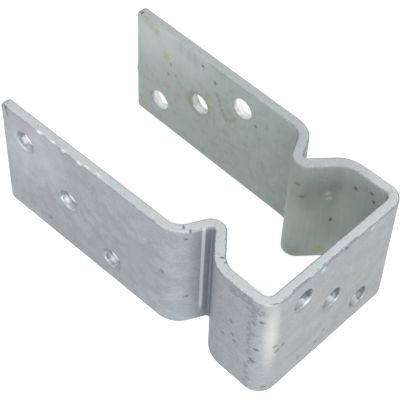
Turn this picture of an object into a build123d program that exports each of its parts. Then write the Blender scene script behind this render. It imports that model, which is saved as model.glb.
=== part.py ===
from build123d import *
import os
from math import cos, radians, tan

# Post base: one length of galvanised flat bar, punched, then bent into a U with a
# pinched neck. The two arms clasp the foot of a timber post, whose end seats on the
# shoulders, and the closed end with its three holes is set in the concrete.
# The part lies on one long edge of the bar, as a loose one does. +Z is up across the
# bar, +X points at the web that closes the U, and the near arm is on the -Y side.
# All sizes are in millimetres and all angles in degrees.

# Flat bar
bar_width = 76.2
bar_thickness = 6.35
edge_radius = 0.9
end_corner_radius = 2.5

# U shape, measured on the outside faces
arm_reach = 190.6
far_arm_extra = 2.0
web_width = 103.4
shoulder_width = 103.5
arm_toe_out = 0.95
side_wall_splay = 0.75

# Pinched neck: distances from the outside of the web to the unrounded corners
heel_distance = 37.3
tip_distance = 54.0
shoulder_distance = 63.8
notch_depth = 18.7

# Inside radii of the bends
web_bend_radius = 4.0
heel_bend_radius = 12.0
tip_bend_radius = 1.5
shoulder_bend_radius = 9.6

# Bolt holes, three on a falling diagonal in each arm and in the web
bolt_hole_diameter = 13.0
arm_hole_end_distance = 16.9  # from the near arm's free end to its first hole
arm_hole_pitch = 32.5
arm_hole_rise = 21.0
web_hole_pitch = 24.4
web_hole_rise = 22.4
web_hole_offset = -0.5
hole_row_drift = 1.0  # the near arm's row is this much below the bar's middle, the far arm's above

# Sizes worked out from these
web_x = (arm_reach + far_arm_extra) / 2
side_wall_lean = tan(radians(side_wall_splay))
arm_lean = tan(radians(arm_toe_out))
arm_length = (arm_reach - shoulder_distance) / cos(radians(arm_toe_out))
heel_y = web_width / 2 - heel_distance * side_wall_lean
tip_y = heel_y - notch_depth
shoulder_y = shoulder_width / 2
heel_radius = heel_bend_radius + bar_thickness
shoulder_radius = shoulder_bend_radius + bar_thickness
web_radius = web_bend_radius + bar_thickness


def side_corners(reach, side):
    """Unrounded corners of one side's outside face, from the web to the free end."""
    arm_end_y = shoulder_y + (reach - shoulder_distance) * arm_lean
    return [
        Vector(web_x, side * web_width / 2),
        Vector(web_x - heel_distance, side * heel_y),
        Vector(web_x - tip_distance, side * tip_y),
        Vector(web_x - shoulder_distance, side * shoulder_y),
        Vector(web_x - reach, side * arm_end_y),
    ]


def arm_plane(corners, side):
    """Plane in the middle of an arm's thickness, level with its shoulder corner."""
    shoulder, free_end = corners[-2:]
    inwards = (shoulder - free_end).normalized()
    outwards = Vector(-inwards.Y, inwards.X) * side
    start = shoulder - outwards * (bar_thickness / 2)
    row_z = bar_width / 2 + side * hole_row_drift
    return Plane((start.X, start.Y, row_z), x_dir=inwards, z_dir=outwards)


near_corners = side_corners(arm_reach, -1)
far_corners = side_corners(arm_reach + far_arm_extra, 1)
side_radii = [web_radius, heel_radius, tip_bend_radius, shoulder_radius]

near_arm = arm_plane(near_corners, -1)
far_arm = arm_plane(far_corners, 1)
web = Plane(
    (web_x - bar_thickness / 2, web_hole_offset, bar_width / 2),
    x_dir=(0, 1, 0),
    z_dir=(1, 0, 0),
)

arm_hole_middle = arm_hole_end_distance + arm_hole_pitch - arm_length
hole_patterns = [
    (near_arm, arm_hole_middle, arm_hole_pitch, arm_hole_rise),
    (far_arm, arm_hole_middle, arm_hole_pitch, arm_hole_rise),
    (web, 0, web_hole_pitch, web_hole_rise),
]

with BuildPart() as strap:
    # The bar's bent section, seen along the bar's width
    with BuildSketch() as section:
        with BuildLine():
            FilletPolyline(
                *near_corners[::-1],
                *far_corners,
                radius=side_radii[::-1] + side_radii,
            )
            offset(amount=bar_thickness, side=Side.LEFT)
        make_face()
    extrude(amount=bar_width)

    # Sheared ends with softened corners, and rolled edges all round
    free_ends = strap.faces().sort_by(Axis.X)[:2]
    fillet(free_ends.edges().filter_by(Axis.Z, reverse=True), end_corner_radius)
    fillet(strap.edges().filter_by(Axis.Z, reverse=True), edge_radius)

    # Punched holes
    for plane, middle, pitch, rise in hole_patterns:
        with BuildSketch(plane):
            with Locations((middle - pitch, rise), (middle, 0), (middle + pitch, -rise)):
                Circle(bolt_hole_diameter / 2)
        extrude(amount=bar_thickness, both=True, mode=Mode.SUBTRACT)

strap.part.label = "strap"
os.makedirs("parts", exist_ok=True)
export_step(strap.part, "parts/strap.step")
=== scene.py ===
from math import atan2, ceil, copysign, cos, exp, pi, radians, sin, tan

import bmesh
import bpy
from mathutils import Matrix, Vector, noise


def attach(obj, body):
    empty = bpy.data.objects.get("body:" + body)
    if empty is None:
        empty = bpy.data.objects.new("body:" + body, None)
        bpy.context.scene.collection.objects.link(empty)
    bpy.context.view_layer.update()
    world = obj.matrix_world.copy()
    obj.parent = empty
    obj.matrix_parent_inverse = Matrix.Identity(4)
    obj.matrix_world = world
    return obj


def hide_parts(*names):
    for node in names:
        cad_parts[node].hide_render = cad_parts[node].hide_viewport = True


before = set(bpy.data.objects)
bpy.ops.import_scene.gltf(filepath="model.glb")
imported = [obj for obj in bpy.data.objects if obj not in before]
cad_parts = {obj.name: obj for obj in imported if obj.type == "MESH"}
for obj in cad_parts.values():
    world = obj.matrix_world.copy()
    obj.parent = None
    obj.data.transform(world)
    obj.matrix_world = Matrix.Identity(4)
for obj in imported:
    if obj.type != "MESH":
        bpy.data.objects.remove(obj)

# Post base: one galvanised flat bar, punched flat and then bent into a U with a
# pinched neck. It is made here in the same order, finer than its solid, so that the
# zinc can soften its edges and lie unevenly on it. Sizes are in millimetres.

mm = 0.001
scene = bpy.context.scene
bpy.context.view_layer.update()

# The bar as it is punched, and how the zinc softens it
bar = {
    "width": 76.2,
    "thickness": 6.35,
    "edgeRound": 1.1,
    "rimWidth": 1.8,
    "rimDepth": 1.4,
    "cornerRound": 2.5,
    "holeDiameter": 12.6,
    "punchPatch": 10.5,  # half the square that is meshed anew round a hole
    "step": 1.15,  # mesh spacing
    "roundSteps": 4,
    "edgeSteps": 2,
    "patchRings": 3,
    "endGap": 0.5,  # no mesh line is closer to the ends' rounding than this
    # The bright line down the near fold is a painted highlight
    "foldHighlight": 137.6,  # bright line down the near fold
}

# Slack in comparing places, and the distance under which two points are one
slack = 0.01
same = 0.001

# The U that it is bent into: corners of the outside faces before rounding
bends = {
    "nearReach": 190.6,
    "farReach": 192.6,
    "webWidth": 103.4,
    "shoulderWidth": 103.5,
    "toeOut": 0.95,
    "splay": 0.75,
    "heelFromWeb": 37.3,
    "tipFromWeb": 54.0,
    "shoulderFromWeb": 63.8,
    "notchDepth": 18.7,
    "webRadius": 7.2,  # radii at the middle of the bar's thickness
    "heelRadius": 15.2,
    "tipRadius": 4.7,
    "shoulderRadius": 12.8,
    "turnStep": 6.0,
}

# Three holes on a diagonal in each arm and in the web
holes = {
    "endDistance": 16.9,  # from the near arm's free end to its first hole
    "armPitch": 32.5,
    "armRise": 21.0,
    "webPitch": 24.4,
    "webRise": 22.4,
    "webOffset": -0.5,
    "drift": 1.0,  # the near arm's row is this much below the bar's middle, the far arm's above
}


def sideCorners(reach, side):
    webX = bends["farReach"] / 2
    heelY = bends["webWidth"] / 2 - bends["heelFromWeb"] * tan(radians(bends["splay"]))
    shoulderY = bends["shoulderWidth"] / 2
    endY = shoulderY + (reach - bends["shoulderFromWeb"]) * tan(radians(bends["toeOut"]))
    return [
        Vector((webX, side * bends["webWidth"] / 2)),
        Vector((webX - bends["heelFromWeb"], side * heelY)),
        Vector((webX - bends["tipFromWeb"], side * (heelY - bends["notchDepth"]))),
        Vector((webX - bends["shoulderFromWeb"], side * shoulderY)),
        Vector((webX - reach, side * endY)),
    ]


def leftOf(heading):
    return Vector((-heading.y, heading.x))


# Runs and bends of the bar's middle line, from the near free end to the far one
def bentPath():
    near = sideCorners(bends["nearReach"], -1)[::-1]
    outside = near + sideCorners(bends["farReach"], 1)
    headings = [(b - a).normalized() for a, b in zip(outside, outside[1:])]
    half = bar["thickness"] / 2
    middle = [outside[0] + leftOf(headings[0]) * half]
    for corner, before, after in zip(outside[1:], headings, headings[1:]):
        a, b = leftOf(before), leftOf(after)
        middle.append(corner + (a + b) * half / (1 + a.dot(b)))
    middle.append(outside[-1] + leftOf(headings[-1]) * half)
    sideRadii = [bends[name] for name in ("shoulderRadius", "tipRadius", "heelRadius", "webRadius")]
    radii = sideRadii + sideRadii[::-1]
    path = []
    reached = 0.0
    trimBefore = 0.0
    for i, heading in enumerate(headings):
        trim = 0.0
        if i < len(radii):
            turn = atan2(heading.cross(headings[i + 1]), heading.dot(headings[i + 1]))
            trim = radii[i] * tan(abs(turn) / 2)
        start = middle[i] + heading * trimBefore
        end = middle[i + 1] - heading * trim
        length = (end - start).length
        piece = {"at": reached, "length": length, "start": start, "heading": heading, "radius": 0.0}
        path.append(piece)
        reached += length
        if i < len(radii):
            length = radii[i] * abs(turn)
            signed = copysign(radii[i], turn)
            piece = {"at": reached, "length": length, "start": end, "heading": heading, "radius": signed}
            path.append(piece)
            reached += length
        trimBefore = trim
    return path


# Place and heading of the middle line at a distance from the near free end
def alongPath(path, distance):
    piece = path[0]
    for nextPiece in path[1:]:
        if nextPiece["at"] > distance:
            break
        piece = nextPiece
    run = distance - piece["at"]
    heading = piece["heading"]
    if not piece["radius"]:
        return piece["start"] + heading * run, heading
    centre = piece["start"] + leftOf(heading) * piece["radius"]
    turned = heading.copy()
    turned.rotate(Matrix.Rotation(run / piece["radius"], 2))
    return centre - leftOf(turned) * piece["radius"], turned


def spacedOut(low, high, step):
    count = max(1, ceil((high - low) / step))
    return [low + (high - low) * i / count for i in range(count + 1)]


# One half of the bar's thickness: the outside face with its rims and rounded edges
def punchedHalf(path, places):
    total = path[-1]["at"] + path[-1]["length"]
    inset = bar["edgeRound"]
    stations = []
    for piece in path:
        step = bar["step"]
        if piece["radius"]:
            step = min(step, abs(piece["radius"]) * radians(bends["turnStep"]))
        stations += spacedOut(piece["at"], piece["at"] + piece["length"], step)[:-1]
    first, last = inset + bar["endGap"], total - inset - bar["endGap"]
    stations = [inset] + [s for s in stations if first < s < last] + [total - inset]
    rows = spacedOut(inset, bar["width"] - inset, bar["step"])
    top = bar["thickness"] / 2

    bm = bmesh.new()
    columns, lanes = len(stations) - 1, len(rows) - 1
    bmesh.ops.create_grid(bm, x_segments=columns, y_segments=lanes, size=0.5)
    for vert in bm.verts:
        i = round((vert.co.x + 0.5) * columns)
        j = round((vert.co.y + 0.5) * lanes)
        vert.co = (stations[i], rows[j], top)

    frameEdges = [edge for edge in bm.edges if edge.is_boundary]
    for place in places:
        punchHole(bm, place, top)
    roundOutside(bm, frameEdges, total, top)
    return bm


# Square patch out, then rings towards the hole, its rounded rim and half its wall
def punchHole(bm, place, top):
    reach = bar["punchPatch"]

    def offset(point):
        return max(abs(point.x - place.x), abs(point.y - place.y))

    inside = [face for face in bm.faces if offset(face.calc_center_median()) < reach]
    bmesh.ops.delete(bm, geom=inside, context="FACES")
    nearby = reach + 2 * bar["step"]
    edges = [e for e in bm.edges if e.is_boundary and all(offset(v.co) < nearby for v in e.verts)]
    rimWidth, rimDepth = bar["rimWidth"], bar["rimDepth"]
    wall = bar["holeDiameter"] / 2
    for i in range(1, bar["patchRings"] + 1):
        share = 1 / (bar["patchRings"] + 1 - i)
        edges = extrudeRing(bm, edges, place, wall + rimWidth, top, share)
    for i in range(1, bar["roundSteps"] + 1):
        angle = pi / 2 * i / bar["roundSteps"]
        radius = wall + rimWidth * (1 - sin(angle))
        edges = extrudeRing(bm, edges, place, radius, top - rimDepth * (1 - cos(angle)))
    for i in range(1, bar["edgeSteps"] + 1):
        edges = extrudeRing(bm, edges, place, wall, (top - rimDepth) * (1 - i / bar["edgeSteps"]))


# One more ring, moved a share of the way to a radius round the hole
def extrudeRing(bm, edges, place, radius, height, share=1.0):
    out = bmesh.ops.extrude_edge_only(bm, edges=edges)["geom"]
    for vert in [v for v in out if isinstance(v, bmesh.types.BMVert)]:
        away = Vector((vert.co.x - place.x, vert.co.y - place.y))
        away *= 1 + (radius / away.length - 1) * share
        vert.co = (place.x + away.x, place.y + away.y, height)
    return [e for e in out if isinstance(e, bmesh.types.BMEdge)]


# Rounded edge all round the bar, down to the middle of its thickness
def roundOutside(bm, edges, total, top):
    inset = bar["edgeRound"]

    def outwards(point):
        pairs = ((point.x, total), (point.y, bar["width"]))
        dx, dy = ((at > size - inset - slack) - (at < inset + slack) for at, size in pairs)
        return Vector((dx, dy, 0))

    angles = [pi / 2 * i / bar["roundSteps"] for i in range(1, bar["roundSteps"] + 1)]
    stages = [(inset * sin(angle), top - inset * (1 - cos(angle))) for angle in angles]
    left = [1 - i / bar["edgeSteps"] for i in range(1, bar["edgeSteps"] + 1)]
    stages += [(inset, (top - inset) * share) for share in left]
    reached = 0.0
    for distance, height in stages:
        out = bmesh.ops.extrude_edge_only(bm, edges=edges)["geom"]
        edges = [e for e in out if isinstance(e, bmesh.types.BMEdge)]
        for vert in [v for v in out if isinstance(v, bmesh.types.BMVert)]:
            x = min(max(vert.co.x, inset), total - inset)
            y = min(max(vert.co.y, inset), bar["width"] - inset)
            away = Vector((sign(vert.co.x - x), sign(vert.co.y - y), 0))
            if not reached:
                away = outwards(vert.co)
            vert.co = (x + away.x * distance, y + away.y * distance, height)
        reached = distance
    softenCorners(bm, total)


def sign(value):
    return 0 if abs(value) < same else copysign(1, value)


# A square corner of the flat bar becomes a quarter disc
def softenCorners(bm, total):
    soft = bar["cornerRound"]
    for vert in bm.verts:
        x = min(max(vert.co.x, soft), total - soft)
        y = min(max(vert.co.y, soft), bar["width"] - soft)
        away = Vector((vert.co.x - x, vert.co.y - y))
        if away.x and away.y:
            away *= max(abs(away.x), abs(away.y)) / away.length
            vert.co.x = x + away.x
            vert.co.y = y + away.y


def holePlaces(path):
    total = path[-1]["at"] + path[-1]["length"]
    middle = bar["width"] / 2
    farExtra = (bends["farReach"] - bends["nearReach"]) / cos(radians(bends["toeOut"]))
    web = path[len(path) // 2]
    webMiddle = web["at"] + holes["webOffset"] - web["start"].y
    places = []
    for i in (-1, 0, 1):
        fromEnd = holes["endDistance"] + (1 + i) * holes["armPitch"]
        rise = i * holes["armRise"] + holes["drift"]
        places.append(Vector((fromEnd, middle - rise)))
        places.append(Vector((total - farExtra - fromEnd, middle + rise)))
        places.append(Vector((webMiddle + i * holes["webPitch"], middle - i * holes["webRise"])))
    return places


def bendBar(bm, path):
    for vert in bm.verts:
        point, heading = alongPath(path, vert.co.x)
        point = point - leftOf(heading) * vert.co.z
        vert.co = (point.x * mm, point.y * mm, vert.co.y * mm)


# Lumps that the draining zinc left, as (along, across, thickness) places on the flat bar
lumps = {
    "edgeBeads": [
        (28.5, 76.0, 2.8),
        (47.0, 76.0, 2.9),
        (58.6, 76.0, 2.6),
        (63.5, 76.2, 1.8),
        (71.0, 76.2, 1.2),
    ],
    "endDrops": [(499.0, 31.7, -2.0), (0.4, 74.5, 0.5)],
    "beadSpread": (2.0, 1.0, 1.0),
    "dropSpread": (1.0, 2.2, 2.5),
    "beadHeight": 0.32,
    "dropHeight": 0.55,
    "sag": 0.16,  # how far the coat falls short of the bar's full size at its thinnest
    "sagSize": 9.0,
    "ripple": 0.05,
    "rippleSize": 2.4,
    "rippleShift": (31, 7, 3),
}


def lumpHeight(place):
    height = 0.0
    for kind in ("bead", "drop"):
        spread = lumps[kind + "Spread"]
        for centre in lumps["edgeBeads" if kind == "bead" else "endDrops"]:
            apart = [(a - b) / c for a, b, c in zip(place, centre, spread)]
            height += lumps[kind + "Height"] * exp(-sum(a * a for a in apart))
    return height


# The zinc's unevenness: it sags inwards a little everywhere and stands out in lumps
def unevenZinc(bm, layer):
    bm.normal_update()
    moves = []
    for vert in bm.verts:
        place = vert[layer] / mm
        sag = 0.5 + 0.5 * noise.noise(place / lumps["sagSize"])
        ripple = 0.5 + 0.5 * noise.noise(place / lumps["rippleSize"] + Vector(lumps["rippleShift"]))
        moves.append(vert.normal * (lumpHeight(place) - lumps["sag"] * sag - lumps["ripple"] * ripple))
    for vert, move in zip(bm.verts, moves):
        vert.co += move * mm


def buildStrap():
    path = bentPath()
    places = holePlaces(path)
    bm = punchedHalf(path, places)
    bmesh.ops.mirror(bm, geom=bm.verts[:] + bm.edges[:] + bm.faces[:], axis="Z", merge_dist=same)
    flatPlace = bm.verts.layers.float_vector.new("flatPlace")
    fromHole = bm.verts.layers.float_vector.new("fromHole")
    for vert in bm.verts:
        vert[flatPlace] = vert.co * mm
        apart = min((vert.co.xy - place for place in places), key=lambda away: away.length)
        vert[fromHole] = (apart.x * mm, apart.y * mm, apart.length * mm)
    bendBar(bm, path)
    bmesh.ops.recalc_face_normals(bm, faces=bm.faces)
    if bm.calc_volume(signed=True) < 0:
        bmesh.ops.reverse_faces(bm, faces=bm.faces)
    unevenZinc(bm, flatPlace)
    mesh = bpy.data.meshes.new("zincStrap")
    bm.to_mesh(mesh)
    bm.free()
    mesh.shade_smooth()
    return mesh


zincStrap = bpy.data.objects.new("zincStrap", buildStrap())
scene.collection.objects.link(zincStrap)
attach(zincStrap, "root")
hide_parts("strap")
print("strap:", len(zincStrap.data.vertices), "vertices,", len(zincStrap.data.polygons), "faces")


# sRGB hex to the linear values that Blender works in
def linear(colour):
    channels = [int(colour[i : i + 2], 16) / 255 for i in (0, 2, 4)]
    return [c / 12.92 if c <= 0.04045 else ((c + 0.055) / 1.055) ** 2.4 for c in channels] + [1.0]


# A node with its settings and inputs, each either a value or a socket to link
def addNode(tree, kind, inputs=(), **settings):
    node = tree.nodes.new("ShaderNode" + kind)
    for name, value in settings.items():
        setattr(node, name, value)
    for name, value in dict(inputs).items():
        if isinstance(value, bpy.types.NodeSocket):
            tree.links.new(value, node.inputs[name])
        else:
            node.inputs[name].default_value = value
    return node


def newTree(owner):
    owner.use_nodes = True
    owner.node_tree.nodes.clear()
    return owner.node_tree


def calc(tree, operation, a, b=0.0):
    return addNode(tree, "Math", {0: a, 1: b}, operation=operation).outputs[0]


def levels(tree, value, low, high, toLow=0.0, toHigh=1.0):
    inputs = {"Value": value, "From Min": low, "From Max": high, "To Min": toLow, "To Max": toHigh}
    return addNode(tree, "MapRange", inputs, interpolation_type="SMOOTHSTEP").outputs["Result"]


def blend(tree, factor, a, b):
    node = addNode(tree, "Mix", {0: factor, 6: a, 7: b}, data_type="RGBA")
    return node.outputs[2]


# One of the mesh's own place attributes, in millimetres
def stored(tree, name):
    place = addNode(tree, "Attribute", attribute_name=name, attribute_type="GEOMETRY").outputs["Vector"]
    return addNode(tree, "VectorMath", {0: place, "Scale": 1 / mm}, operation="SCALE").outputs[0]


# Noise whose lumps are about size mm across, stretched along the bar's three directions
def grain(tree, flat, size, stretch=(1, 1, 1), detail=2.0, offset=0.0):
    scaled = [1 / (size * s) for s in stretch]
    inputs = {0: flat, 1: scaled, 2: [offset] * 3}
    place = addNode(tree, "VectorMath", inputs, operation="MULTIPLY_ADD").outputs[0]
    return addNode(tree, "TexNoise", {"Vector": place, "Scale": 1.0, "Detail": detail}).outputs["Fac"]


# Soft spot round a place on the flat bar: 1 up to its core's share of the radii, 0 past them
def spot(tree, flat, place, radii, core):
    apart = addNode(tree, "VectorMath", {0: flat, 1: place}, operation="SUBTRACT").outputs[0]
    scaled = addNode(tree, "VectorMath", {0: apart, 1: radii}, operation="DIVIDE").outputs[0]
    away = addNode(tree, "VectorMath", {0: scaled}, operation="LENGTH").outputs["Value"]
    return levels(tree, away, core, 1.0, 1.0, 0.0)


def spots(tree, flat, places, radii, core):
    strongest = 0.0
    for place in places:
        strongest = calc(tree, "MAXIMUM", spot(tree, flat, place, radii, core), strongest)
    return strongest


# Marks seen on the zinc, and patches of painted light and shade, as (along, across, thickness) places on
# the flat bar
outside, inside, topEdge = 3.2, -3.2, 76.2
marks = {
    # Painted light: the near arm lighter towards its free end
    "clear": {
        "places": [(12, 50, outside), (30, 60, outside)],
        "radii": (26, 36, 3),
        "colour": "BCBEC3",
        "strength": 0.35,
        "core": 0.0,
    },
    # Painted shade: the near arm darker low down towards its bend
    "nearArmShade": {
        "places": [(78, 14, outside), (60, 8, outside), (95, 30, outside)],
        "radii": (42, 34, 3),
        "colour": "777B80",
        "strength": 0.4,
        "core": 0.0,
    },
    # Painted light on the far arm's inside, where it opens out at its free end and top
    "farEndLight": {
        "places": [(489, 64, inside), (474, 72, inside), (462, 74, inside)],
        "radii": (34, 32, 3),
        "colour": "BAC1C3",
        "strength": 0.55,
        "core": 0.0,
    },
    "blue": {
        "places": [
            (330, 71, inside),
            (330, 60, inside),
            (463, 73, inside),
            (457, 72, inside),
            (452, 71, inside),
        ],
        "radii": (5, 8, 3),
        "colour": "76828A",
        "strength": 0.35,
        "core": 0.1,
    },
    "pink": {
        "places": [
            (344, 44, inside),
            (339, 34, inside),
            (350, 57, inside),
            (474, 42, inside),
            (465, 30, inside),
        ],
        "radii": (6, 11, 3),
        "colour": "A09894",
        "strength": 0.4,
        "core": 0.1,
    },
    "olive": {
        "places": [
            (491, 74, inside),
            (487, 73, inside),
            (483, 71, inside),
            (475, 58, inside),
            (493, 5, inside),
            (480, 3, inside),
            (348, 5, inside),
            (335, 7, inside),
            (298, 75, inside),
            (441, 51, inside),
            (456, 38, inside),
            (424, 52, inside),
        ],
        "radii": (4.5, 5.5, 3),
        "colour": "8E9A5E",
        "strength": 0.5,
        "core": 0.1,
    },
    "run": {
        "places": [
            (434, 57, inside),
            (432.5, 54, inside),
            (431.5, 51, inside),
            (430, 48, inside),
            (428, 45.5, inside),
            (426, 44, inside),
            (423.5, 44.5, inside),
            (421.5, 46.5, inside),
            (420, 49, inside),
        ],
        "radii": (2.5, 3.7, 2),
        "colour": "7A7458",
        "strength": 0.5,
        "core": 0.0,
    },
    "brown": {
        "places": [
            (350, 61, inside),
            (348, 52, inside),
            (471, 54, inside),
            (473, 45, inside),
            (467, 48, inside),
        ],
        "radii": (1.6, 1.8, 2),
        "colour": "6B5A50",
        "strength": 0.55,
        "core": 0.2,
    },
    "pale": {
        "places": [(335, 54, inside), (334, 50, inside), (273, 74, outside), (236, 74, outside)],
        "radii": (2.5, 2.5, 2),
        "colour": "D6DADA",
        "strength": 0.5,
        "core": 0.1,
    },
    # Painted highlight down the bend of the near corner, warm white
    "nearCornerHighlight": {
        "places": [(204, 50, outside)],
        "radii": (4.5, 42, 2),
        "colour": "D2D2CE",
        "strength": 0.45,
        "core": 0.0,
    },
    "bead": {
        "places": [
            (30, 76, 2.5),
            (40, 76.2, 2.3),
            (48, 76, 2.5),
            (60, 76, 2.5),
            (65, 76.2, 1.8),
            (72.5, 76.2, 1.2),
        ],
        "radii": (3.2, 2.0, 1.0),
        "colour": "ECF0F1",
        "strength": 0.7,
        "core": 0.1,
    },
    "gleam": {
        "places": [(12.5, 53.7, -1.5), (45.2, 32.3, -0.5), (79.4, 10.3, -1.5)],
        "radii": (3.6, 3.6, 2.6),
        "colour": "F6FAFA",
        "strength": 0.85,
        "core": 0.1,
    },
    "pit": {
        "places": [
            (331, 32, inside),
            (318, 64, inside),
            (308, 68, inside),
            (306, 63, inside),
            (404.5, 55, inside),
            (446, 71, inside),
            (436, 65, inside),
            (178.5, 31, outside),
            (185, 36.5, outside),
            (186.5, 32, outside),
            (183.5, 46, outside),
            (119, 41, outside),
            (130, 23, outside),
            (129, 71, outside),
            (34, 10, outside),
            (200, 62, outside),
            (199, 38, outside),
            (198, 27, outside),
            (206, 40, outside),
            (207, 35, outside),
            (211, 36, outside),
            (203, 5, outside),
            (225, 9, outside),
            (239, 9, outside),
            (245, 14, outside),
            (253, 75.5, outside),
        ],
        "radii": (1.8, 1.8, 1.5),
        "colour": "4A4D4E",
        "strength": 0.8,
        "core": 0.1,
    },
    "crack": {
        "places": [
            (128, topEdge, -0.9),
            (131, topEdge, 2.3),
            (166.5, topEdge, -0.8),
            (170, topEdge, -2.6),
            (496, topEdge, -2),
            (4, 75, outside),
            (5, 71.5, outside),
        ],
        "radii": (1.2, 2.5, 2.1),
        "colour": "4A4E50",
        "strength": 0.8,
        "core": 0.1,
    },
}

# Rough grey speckles beside the near corner: patches, and a wavering line down from them
speckles = {
    "places": [(184, 72, outside), (189, 73, outside), (194, 73, outside), (197, 69, outside)],
    "radii": (6, 6, 3),
    "line": 195.6,
    "waver": 9.0,
    "halfWidth": 3.2,
    "lineStrength": 0.75,
    "crowding": 0.26,  # how much thicker they lie in the middle of a patch
    "colour": "6C7172",
    "strength": 0.75,
}

# Brown stain round the far arm's middle hole
ring = {
    "place": (447.6, 39.1, inside),
    "inwards": (6.0, 7.6),
    "outwards": (11.0, 8.0),
    "colour": "7E8466",
    "strength": 0.55,
}

# Broken dark ridge along the web's upper edge
ridge = {
    "start": (200, 203),
    "end": (268, 260),
    "thickness": 2.1,
    "width": (0.75, 0.1),
    "colour": "6A7073",
    "strength": 0.7,
}

# Colours of the zinc and of the painted light and shade on it, and the share in which some of them cover
# what is under them
finish = {
    "grey": "8D9295",
    "dark": "7D8286",
    "violet": "8A8B90",
    "cool": "808A91",
    "light": "B0B3B6",
    "warmLit": "8E8B88",
    "sideWall": "7B7D7F",
    "fold": "5C667A",
    "foldHighlight": "CFD6D7",
    "green": "9EABA4",
    "dirt": "7F8B84",
    "lobeLowLight": "B4BFB6",
    "lobeHighShade": "868F8A",
    "edge": "CFD6D7",
    "farEdgeShade": "BDC5C4",
    "turningShade": "868C90",
    "wallLit": "C6CDCF",
    "wallShadeNear": "81888D",
    "wallShadeWeb": "6C737A",
    "mouthLight": "F6F8F7",
}
cover = {
    "warmLit": 0.5,
    "sideWall": 0.6,
    "fold": 0.6,
    "foldHighlight": 0.85,
    "green": 0.75,
    "dirt": 0.35,
    "lobe": 0.7,
    "dark": 0.14,
    "light": 0.2,
    "turningShade": 0.5,
    "edge": 0.8,
}

# Where a mask is none and where it is full, in millimetres along, across or in the
# thickness of the flat bar, or as a noise's value; two more numbers replace none and full
cuts = {
    "nearEnd": (80, 35),
    "webStart": (196, 204),
    "webEnd": (302, 296),
    "sideStart": (153, 165),
    "sideEnd": (197, 188),
    "foldStart": (140, 142),
    "foldEnd": (190, 156),
    "lobeStart": (300, 312),
    "lobeEnd": (375, 362),
    "lobeTop": (25, 65),
    "foldHighlight": (1.3, 0.5),
    "foldHighlightFoot": (6, 14),
    "farEdgeShade": (300, 330),
    "farWall": (330, 360),
    "webWall": (130, 200),
    "wallLean": (150, 200, -0.6, 0.6),
    "wallTop": (-7.0, 2.0),
    "innerFace": (-2.6, -3.1),
    "outerFace": (2.0, 2.8),
    "farMouth": (-3.0, 0.4),
    "turnDepth": (1.9, 2.4),
    "edgeDepth": (2.9, 2.1),
    "belowTop": (76.0, 75.2),
    "onTop": (75.0, 75.6),
    "cloud": (0.35, 0.65),
    "gloss": (0.3, 0.7, 0.5, 0.42),
    "tint": (0.4, 0.6, 0.1, 0.8),
    "streak": (0.42, 0.7),
    "dirt": (0.45, 0.7),
    "fine": (0.35, 0.7),
    "speck": (0.58, 0.72),
    "speckBand": (0.02, 0.2),
    "ringPatch": (0.4, 0.55, 0.4, 1.0),
    "broken": (0.42, 0.52),
}

# The zinc's noises: size of their lumps in millimetres, and how they differ
noises = {
    "cloud": {"size": 7, "detail": 5},
    "streak": {"size": 1.6, "stretch": (1, 14, 1), "detail": 3, "offset": 5},
    "fine": {"size": 0.9, "detail": 3, "offset": 11},
    "tint": {"size": 22, "detail": 4, "offset": 23},
    "dirt": {"size": 4.5, "detail": 5, "offset": 97},
    "blotch": {"size": 3.2, "detail": 3, "offset": 83},
    "waver": {"size": 5, "detail": 2, "offset": 71},
    "speck": {"size": 1.3, "detail": 3, "offset": 41},
    "broken": {"size": 3.5, "detail": 3, "offset": 57},
}

# How the zinc shines, and how its marks, edges and hole walls are shaped
zinc = {
    "metallic": 0.35,
    "raggedScale": 0.9,  # noise that makes the marks' outlines ragged
    "raggedReach": 1.6,
    "turnIn": (1.2, 0.7),  # from the bar's edge, where its rounding starts
    "edgeIn": (0.6, 0.1),
    "wallSpread": 0.35,
    "blotchReach": 30.0,
    "edgeRough": 0.2,  # added to the roughness on the long edges
    "wave": 0.1,
    "pitDepth": 0.3,
    "shallow": 0.5,  # share of a pit's depth that the speckles and the ridge have
}


def product(tree, first, *others):
    result = first
    for other in others:
        result = calc(tree, "MULTIPLY", result, other)
    return result


def summed(tree, first, *others):
    result = first
    for other in others:
        result = calc(tree, "ADD", result, other)
    return result


def farFrom(tree, value, middle):
    return calc(tree, "ABSOLUTE", calc(tree, "SUBTRACT", value, middle))


# Share of the way through one of the named cuts
def cut(tree, value, name):
    return levels(tree, value, *cuts[name])


# One of the named colours over another, as far as its mask and its cover say
def paint(tree, under, mask, name):
    return blend(tree, calc(tree, "MULTIPLY", mask, cover[name]), under, linear(finish[name]))


def mixed(tree, factor, a, b):
    return blend(tree, factor, linear(finish[a]), linear(finish[b]))


# The point's place on the flat bar, plain and moved about a little, and the noises there
def flatBar(tree):
    flat = stored(tree, "flatPlace")
    inputs = {"Vector": flat, "Scale": zinc["raggedScale"], "Detail": 2.0}
    moved = addNode(tree, "TexNoise", inputs).outputs["Color"]
    inputs = {0: moved, 1: [zinc["raggedReach"]] * 3, 2: flat}
    ragged = addNode(tree, "VectorMath", inputs, operation="MULTIPLY_ADD").outputs[0]
    inputs = {0: ragged, 1: [zinc["raggedReach"] / 2] * 3}
    ragged = addNode(tree, "VectorMath", inputs, operation="SUBTRACT").outputs[0]
    at = {"ragged": ragged}
    at["along"], at["across"], at["thickness"] = addNode(tree, "SeparateXYZ", {0: flat}).outputs
    raggedParts = addNode(tree, "SeparateXYZ", {0: ragged}).outputs
    at["raggedAcross"], at["raggedThickness"] = raggedParts[1], raggedParts[2]
    for name, pattern in noises.items():
        at[name] = grain(tree, flat, **pattern)
    at["innerFace"] = cut(tree, at["thickness"], "innerFace")
    at["outerFace"] = cut(tree, at["thickness"], "outerFace")
    return at


# Part of the bar's length between two cuts
def between(tree, at, name):
    return product(tree, cut(tree, at["along"], name + "Start"), cut(tree, at["along"], name + "End"))
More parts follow.
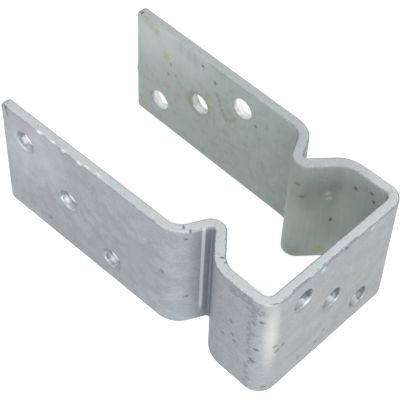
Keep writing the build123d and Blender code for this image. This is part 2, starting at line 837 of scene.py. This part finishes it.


# Cloudy grey that is violet at the near free end and green inside, with painted light and shade: a
# warmer tint on the lit web, shade in the near fold, a highlight down it, and light low and shade high
# on the far lobe
def faceColour(tree, at):
    colour = mixed(tree, cut(tree, at["cloud"], "cloud"), "dark", "grey")
    tinted = mixed(tree, cut(tree, at["along"], "nearEnd"), "cool", "violet")
    colour = blend(tree, cut(tree, at["tint"], "tint"), colour, tinted)
    # Warmer grey on the web and its corner bend: a painted tint standing in for the warmer light on this
    # lit side
    onWeb = between(tree, at, "web")
    colour = paint(tree, colour, onWeb, "warmLit")
    colour = paint(tree, colour, between(tree, at, "side"), "sideWall")
    # Painted shade in the recess of the near fold
    colour = paint(tree, colour, between(tree, at, "fold"), "fold")
    # Painted highlight: a bright line down the near fold
    foldHighlight = cut(tree, farFrom(tree, at["along"], bar["foldHighlight"]), "foldHighlight")
    foldHighlight = product(tree, foldHighlight, cut(tree, at["across"], "foldHighlightFoot"), at["outerFace"])
    colour = paint(tree, colour, foldHighlight, "foldHighlight")

    colour = paint(tree, colour, at["innerFace"], "green")
    dirt = product(tree, at["innerFace"], cut(tree, at["dirt"], "dirt"))
    colour = paint(tree, colour, dirt, "dirt")
    # The lobe inside the far shoulder: painted light low down and painted shade up high, evening out how
    # it is lit
    lobeLightAndShade = mixed(tree, cut(tree, at["across"], "lobeTop"), "lobeLowLight", "lobeHighShade")
    lobe = product(tree, between(tree, at, "lobe"), at["innerFace"], cover["lobe"])
    colour = blend(tree, lobe, colour, lobeLightAndShade)

    streakPart = calc(tree, "MAXIMUM", onWeb, at["innerFace"])
    colour = paint(tree, colour, product(tree, cut(tree, at["streak"], "streak"), streakPart), "dark")
    return paint(tree, colour, cut(tree, at["fine"], "fine"), "light")


# The long edges' tops carry painted light, paler where they face up, past a line of painted shade where
# they turn
def edgeColour(tree, at, colour):
    half = bar["width"] / 2
    fromMiddle = farFrom(tree, at["raggedAcross"], half)
    depth = calc(tree, "ABSOLUTE", at["raggedThickness"])
    # Painted shade on the rounding where the edge turns
    turningShade = levels(tree, fromMiddle, *(half - gap for gap in zinc["turnIn"]))
    turningShade = product(tree, turningShade, cut(tree, depth, "turnDepth"))
    colour = paint(tree, colour, turningShade, "turningShade")
    longEdge = levels(tree, fromMiddle, *(half - gap for gap in zinc["edgeIn"]))
    longEdge = product(tree, longEdge, cut(tree, depth, "edgeDepth"))
    # Painted light on the long edges' tops, with painted shade on the far arm's tops
    edgeLight = mixed(tree, cut(tree, at["along"], "farEdgeShade"), "edge", "farEdgeShade")
    colour = blend(tree, product(tree, longEdge, cover["edge"]), colour, edgeLight)
    return colour, calc(tree, "MAXIMUM", longEdge, turningShade)


# Hole walls: blotchy, with painted shade towards the top, painted light lower down, and near white
# painted light where the far arm's come out
def wallColour(tree, at, colour):
    fromHole = addNode(tree, "SeparateXYZ", {0: stored(tree, "fromHole")}).outputs
    radius = bar["holeDiameter"] / 2
    wall = levels(tree, fromHole[2], radius + bar["rimWidth"] * zinc["wallSpread"], radius)
    blotch = product(tree, calc(tree, "SUBTRACT", at["blotch"], 0.5), zinc["blotchReach"])
    lean = product(tree, fromHole[0], cut(tree, at["along"], "wallLean"))
    rise = summed(tree, fromHole[1], lean, blotch)
    onFar = cut(tree, at["along"], "farWall")
    # Painted shade at the top of the walls, and painted light lower down
    high = mixed(tree, cut(tree, at["along"], "webWall"), "wallShadeNear", "wallShadeWeb")
    high = blend(tree, onFar, high, linear(finish["green"]))
    wallShading = blend(tree, cut(tree, rise, "wallTop"), linear(finish["wallLit"]), high)
    # Near white painted light where the far arm's holes come out
    mouthLight = product(tree, cut(tree, at["thickness"], "farMouth"), onFar)
    wallShading = blend(tree, mouthLight, wallShading, linear(finish["mouthLight"]))
    return blend(tree, wall, colour, wallShading)


# Speckles lie close where their band is strong and far apart at its sides
def speckMask(tree, at):
    waver = product(tree, calc(tree, "SUBTRACT", at["waver"], 0.5), speckles["waver"])
    apart = farFrom(tree, summed(tree, at["along"], waver), speckles["line"])
    line = product(tree, levels(tree, apart, speckles["halfWidth"], 0.0), at["outerFace"])
    patches = spots(tree, at["ragged"], speckles["places"], speckles["radii"], core=0.0)
    band = calc(tree, "MAXIMUM", patches, product(tree, line, speckles["lineStrength"]))
    speck = summed(tree, at["speck"], product(tree, band, speckles["crowding"]))
    speck = product(tree, cut(tree, speck, "speck"), cut(tree, band, "speckBand"))
    return product(tree, speck, cut(tree, at["across"], "belowTop"))


def ringMask(tree, at):
    inputs = {0: at["ragged"], 1: ring["place"]}
    away = addNode(tree, "VectorMath", inputs, operation="DISTANCE").outputs["Value"]
    mask = product(tree, levels(tree, away, *ring["outwards"]), levels(tree, away, *ring["inwards"]))
    return product(tree, mask, cut(tree, at["tint"], "ringPatch"))


def ridgeMask(tree, at):
    aside = farFrom(tree, at["raggedThickness"], ridge["thickness"])
    line = product(tree, levels(tree, aside, *ridge["width"]), cut(tree, at["across"], "onTop"))
    reach = [levels(tree, at["along"], *ridge[name]) for name in ("start", "end")]
    return product(tree, line, product(tree, *reach), cut(tree, at["broken"], "broken"))


# Speckles, stain, ridge and spots over the colour, some spots being painted light and shade, and how
# deep they are sunk
def markedColour(tree, at, colour):
    sunk = 0.0
    for maker, mark in ((speckMask, speckles), (ringMask, ring), (ridgeMask, ridge)):
        mask = maker(tree, at)
        colour = blend(tree, product(tree, mask, mark["strength"]), colour, linear(mark["colour"]))
        if mark is not ring:
            sunk = calc(tree, "MAXIMUM", product(tree, mask, zinc["shallow"]), sunk)
    for name, mark in marks.items():
        mask = spots(tree, at["ragged"], mark["places"], mark["radii"], core=mark["core"])
        colour = blend(tree, product(tree, mask, mark["strength"]), colour, linear(mark["colour"]))
        if name in ("pit", "crack"):
            sunk = calc(tree, "MAXIMUM", sunk, mask)
    return colour, sunk


# Hot-dip zinc: dull satin grey, cloudy, with darker pits and drips and paler lumps
def galvanisedZinc():
    material = bpy.data.materials.new("galvanisedZinc")
    tree = newTree(material)
    at = flatBar(tree)
    colour, edges = edgeColour(tree, at, faceColour(tree, at))
    colour, sunk = markedColour(tree, at, wallColour(tree, at, colour))
    waves = [product(tree, at[name], zinc["wave"]) for name in ("cloud", "fine")]
    height = calc(tree, "SUBTRACT", summed(tree, *waves), product(tree, sunk, zinc["pitDepth"]))
    bump = addNode(tree, "Bump", {"Strength": 1.0, "Distance": mm, "Height": height}).outputs[0]
    roughness = summed(tree, cut(tree, at["cloud"], "gloss"), product(tree, edges, zinc["edgeRough"]))
    inputs = {"Base Color": colour, "Metallic": zinc["metallic"], "Roughness": roughness, "Normal": bump}
    shader = addNode(tree, "BsdfPrincipled", inputs)
    addNode(tree, "OutputMaterial", {"Surface": shader.outputs[0]})
    return material


zincStrap.data.materials.append(galvanisedZinc())
print("zinc done")


# Camera where the photograph was taken from
view = {
    "azimuth": 42.37,
    "elevation": 50.28,
    "roll": 2.73,
    "distance": 695.0,
    "lens": 118.55,
    "across": -66.19,
    "up": 74.02,
    "sensor": 36,
}


def placeCamera():
    a, e, r = (radians(view[name]) for name in ("azimuth", "elevation", "roll"))
    back = Vector((sin(a) * cos(e), -cos(a) * cos(e), sin(e)))
    level = Vector((cos(a), sin(a), 0))
    right = level * cos(r) + back.cross(level) * sin(r)
    up = back.cross(right)
    webFoot = Vector((bends["farReach"] / 2, 0, 0))
    place = webFoot + right * view["across"] + up * view["up"] + back * view["distance"]
    matrix = Matrix((right, up, back)).transposed().to_4x4()
    matrix.translation = place * mm
    camera = bpy.data.objects.new("camera", bpy.data.cameras.new("camera"))
    camera.data.lens = view["lens"]
    camera.data.sensor_width = view["sensor"]
    camera.matrix_world = matrix
    scene.collection.objects.link(camera)
    scene.camera = camera


# White softboxes round the object, each aimed at its middle: azimuth, elevation and power
lamps = {
    "key": (60, 10, 21.5),
    "high": (45, 45, 13.5),
    "left": (-20, 30, 5.5),
    "over": (0, 85, 3),
    "back": (300, 50, 2.5),
    "far": (190, 10, 11),
}
softbox = {"distance": 1.5, "size": 0.9}
studio = {"floorSize": 8.0, "floor": "B0B0B0", "glow": 0.78, "world": "FFFFFF", "worldStrength": 0.25}


def placeLamps():
    aim = Vector((0, 0, bar["width"] / 2)) * mm
    for name, (azimuth, elevation, power) in lamps.items():
        a, e = radians(azimuth), radians(elevation)
        away = Vector((sin(a) * cos(e), -cos(a) * cos(e), sin(e)))
        light = bpy.data.lights.new(name, "AREA")
        light.shape = "DISK"
        light.size = softbox["size"]
        light.energy = power
        lamp = bpy.data.objects.new(name, light)
        lamp.location = aim + away * softbox["distance"]
        lamp.rotation_euler = away.to_track_quat("Z", "Y").to_euler()
        scene.collection.objects.link(lamp)


# Matt white paper. To the camera and to reflections part of it glows, so it stays white
# but still takes the object's shadow.
def whitePaper():
    material = bpy.data.materials.new("whitePaper")
    tree = newTree(material)
    ray = addNode(tree, "LightPath").outputs
    seen = calc(tree, "MAXIMUM", ray["Is Camera Ray"], ray["Is Glossy Ray"])
    seen = calc(tree, "MAXIMUM", seen, ray["Is Transmission Ray"])
    paper = addNode(tree, "BsdfDiffuse", {"Color": linear(studio["floor"])}).outputs[0]
    strength = calc(tree, "MULTIPLY", seen, studio["glow"])
    glow = addNode(tree, "Emission", {"Strength": strength}).outputs[0]
    both = addNode(tree, "AddShader", {0: paper, 1: glow}).outputs[0]
    addNode(tree, "OutputMaterial", {"Surface": both})
    return material


def placeFloor():
    bm = bmesh.new()
    bmesh.ops.create_grid(bm, x_segments=1, y_segments=1, size=studio["floorSize"] / 2)
    mesh = bpy.data.meshes.new("floor")
    bm.to_mesh(mesh)
    bm.free()
    mesh.materials.append(whitePaper())
    floor = bpy.data.objects.new("floor", mesh)
    scene.collection.objects.link(floor)


def placeWorld():
    scene.world = bpy.data.worlds.new("studio")
    tree = newTree(scene.world)
    inputs = {"Color": linear(studio["world"]), "Strength": studio["worldStrength"]}
    sky = addNode(tree, "Background", inputs).outputs[0]
    addNode(tree, "OutputWorld", {"Surface": sky})


placeCamera()
placeLamps()
placeFloor()
placeWorld()
scene.view_settings.view_transform = "Standard"
print("studio done")
